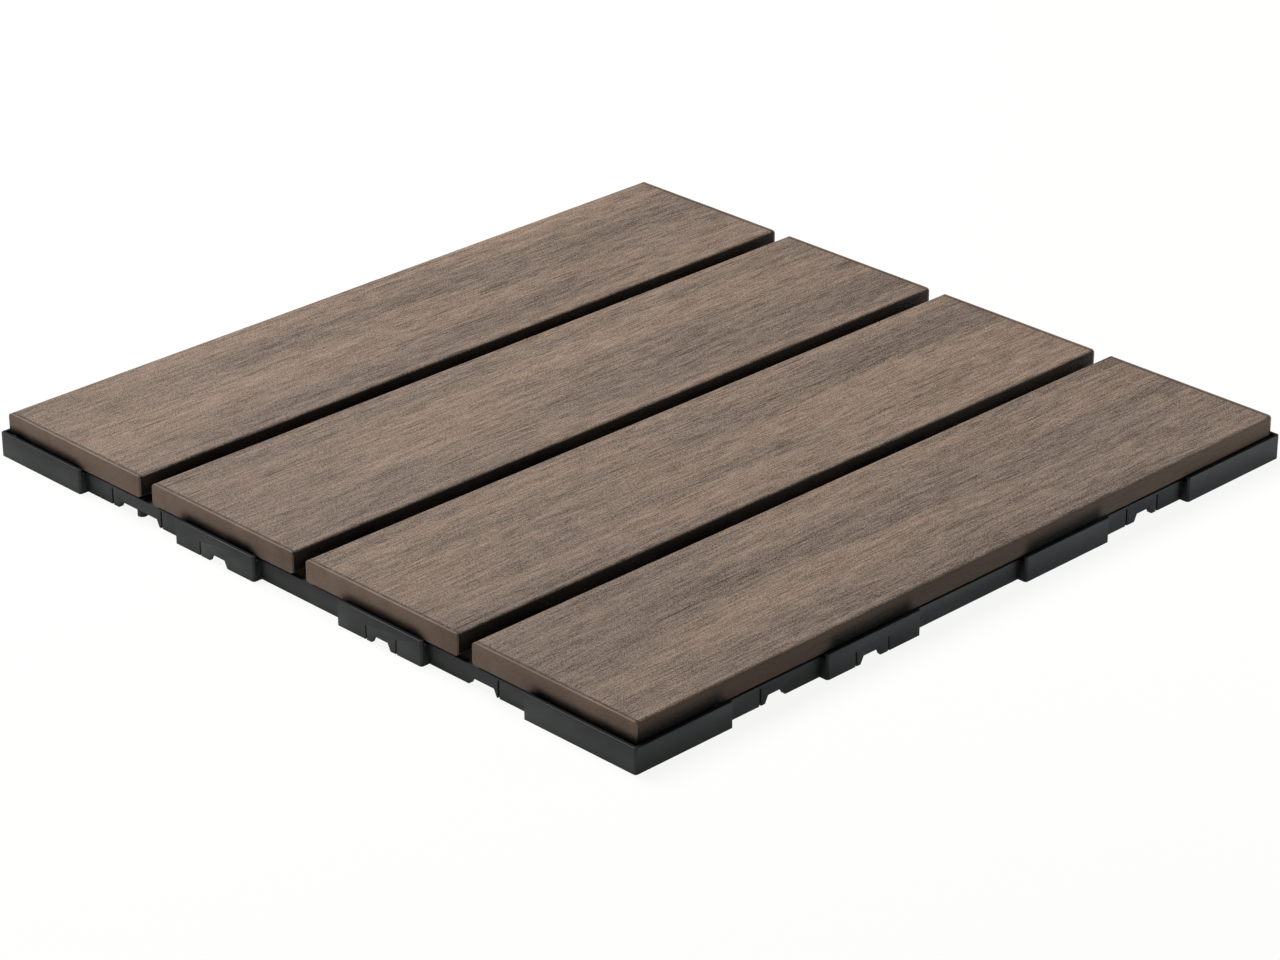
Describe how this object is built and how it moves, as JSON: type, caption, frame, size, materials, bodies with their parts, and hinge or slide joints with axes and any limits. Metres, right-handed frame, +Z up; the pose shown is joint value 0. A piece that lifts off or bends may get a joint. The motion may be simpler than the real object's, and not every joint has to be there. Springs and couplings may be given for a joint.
{
  "type": "interlocking deck tile",
  "caption": "Square interlocking deck tile: wood-grain composite boards screwed to a black moulded base grid with pegs and tabs that link neighbouring tiles.",
  "frame": {"origin": "on the ground under the middle of the tile's square, at the sole of the middle foot", "axes": "+Z up; the boards run along Y and lie side by side along X, slat_1 at -X; the front edge with its pegs faces -Y, the right-hand side with its peg faces +X, the tabs are on +Y and -X"},
  "size_m": [0.3086, 0.3086, 0.0155],
  "materials": {
    "composite_board": "matte embossed wood grain",
    "base_plastic": "moulded, slightly satin",
    "screw_steel": "zinc plated"
  },
  "bodies": {
    "root": {"base_grid": "base_plastic", "slat_1": "composite_board", "slat_1_screws": "screw_steel", "slat_2": "composite_board", "slat_2_screws": "screw_steel", "slat_3": "composite_board", "slat_3_screws": "screw_steel", "slat_4": "composite_board", "slat_4_screws": "screw_steel"}
  },
  "joints": []
}
